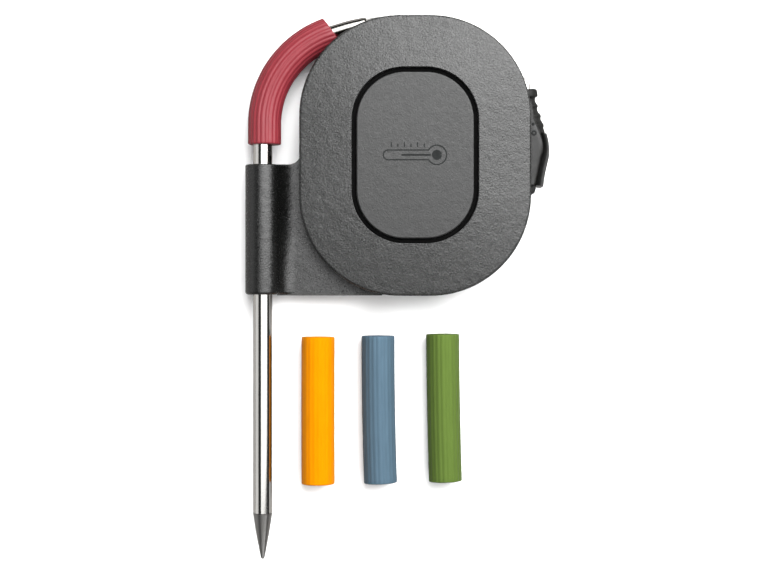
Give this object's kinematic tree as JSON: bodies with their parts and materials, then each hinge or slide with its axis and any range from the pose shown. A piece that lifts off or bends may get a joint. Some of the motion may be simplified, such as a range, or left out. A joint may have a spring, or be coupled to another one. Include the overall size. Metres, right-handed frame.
{
  "type": "probe thermometer with cable wrap",
  "caption": "Bent steel meat probe parked in the side holder of a cable wrap, its lead wound between two flanges, with a side plug and slip-on colour sleeves.",
  "frame": {"origin": "centre of the wrap's rear flange on its back face, on the surface it lies on", "axes": "+Z out of the wrap's front face, +Y up along the parked probe towards its bend, +X from the probe towards the plug"},
  "size_m": [0.0796, 0.143, 0.0154],
  "materials": {
    "textured_grey_plastic": "fine spark-eroded texture",
    "cap_grey_plastic": "fine spark-eroded texture",
    "core_black_plastic": "plain moulded",
    "zinc_steel": "zinc plated",
    "polished_steel": "polished stainless",
    "ground_steel": "ground stainless",
    "bead_glass": "glass-coated bead",
    "white_ceramic": "glazed ceramic",
    "tinned_copper": "drawn wire",
    "steel_braid": "woven braid",
    "red_silicone": "matte moulded",
    "yellow_silicone": "matte moulded",
    "blue_silicone": "matte moulded",
    "green_silicone": "matte moulded",
    "plug_grey_plastic": "fine texture",
    "plug_black_plastic": "fine texture",
    "boot_rubber": "soft moulded",
    "gold_contact": "plated contact",
    "insulating_nylon": "plain moulded"
  },
  "bodies": {
    "wrap": {"rear_flange": "textured_grey_plastic", "front_flange": "textured_grey_plastic", "center_cap": "cap_grey_plastic", "winding_drum": "core_black_plastic", "back_screw_1": "zinc_steel", "back_screw_2": "zinc_steel", "back_screw_3": "zinc_steel", "back_screw_4": "zinc_steel", "cap_screw_1": "zinc_steel", "cap_screw_2": "zinc_steel", "cable_wound": "steel_braid"},
    "probe": {"probe_sheath": "polished_steel", "probe_tip": "ground_steel", "crimp_ferrule": "polished_steel", "sleeve_red": "red_silicone", "thermistor_bead": "bead_glass", "sensor_insulator": "white_ceramic", "sensor_lead_left": "tinned_copper", "sensor_lead_right": "tinned_copper", "cable_lead_in": "steel_braid"},
    "plug": {"plug_body": "plug_grey_plastic", "plug_grip": "plug_black_plastic", "strain_relief": "boot_rubber", "jack_tip": "gold_contact", "jack_insulator": "insulating_nylon", "jack_sleeve": "gold_contact", "cable_lead_out": "steel_braid"},
    "spare_yellow": {"sleeve_yellow": "yellow_silicone"},
    "spare_blue": {"sleeve_blue": "blue_silicone"},
    "spare_green": {"sleeve_green": "green_silicone"}
  },
  "joints": [
    {"name": "probe_slide", "type": "slide", "parent": "wrap", "child": "probe", "axis": [0, 1, 0], "range_m": [0, 0.108], "deforming": ["cable_lead_in"]},
    {"name": "plug_slide", "type": "slide", "parent": "wrap", "child": "plug", "axis": [1, 0, 0], "range_m": [0, 0.02], "deforming": ["cable_lead_out"]},
    {"name": "lift_yellow", "type": "slide", "parent": "wrap", "child": "spare_yellow", "axis": [0, 0, 1], "range_m": [0, 0.05]},
    {"name": "lift_blue", "type": "slide", "parent": "wrap", "child": "spare_blue", "axis": [0, 0, 1], "range_m": [0, 0.05]},
    {"name": "lift_green", "type": "slide", "parent": "wrap", "child": "spare_green", "axis": [0, 0, 1], "range_m": [0, 0.05]}
  ]
}
